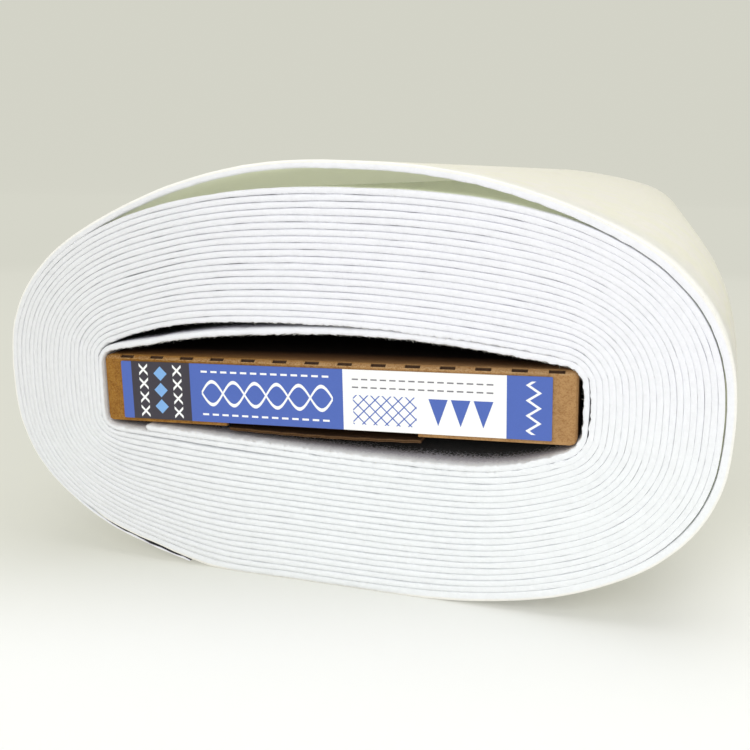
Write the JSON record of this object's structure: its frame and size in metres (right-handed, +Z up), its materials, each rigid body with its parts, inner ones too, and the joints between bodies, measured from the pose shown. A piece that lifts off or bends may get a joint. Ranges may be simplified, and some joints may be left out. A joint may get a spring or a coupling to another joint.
{
  "type": "roll of stiff interfacing",
  "caption": "Long roll of stiff non-woven interfacing wound flat round a folded board, lying on its side, with a plain card label on the end.",
  "frame": {"origin": "on the floor under the middle of the roll's bounding box", "axes": "+Y along the roll from the labelled front end to the back end, +Z up, +X to the right as seen from the front"},
  "size_m": [0.2082, 0.508, 0.1176],
  "materials": {
    "interfacing": "matte, faintly fuzzy",
    "kraft_board": "matte brown board",
    "label_paper": "satin print"
  },
  "bodies": {
    "root": {"cloth_roll": "interfacing", "board_sleeve": "kraft_board", "front_end_flap": "kraft_board", "back_end_flap": "kraft_board", "front_tuck_tab": "kraft_board", "end_label": "label_paper"}
  },
  "joints": []
}
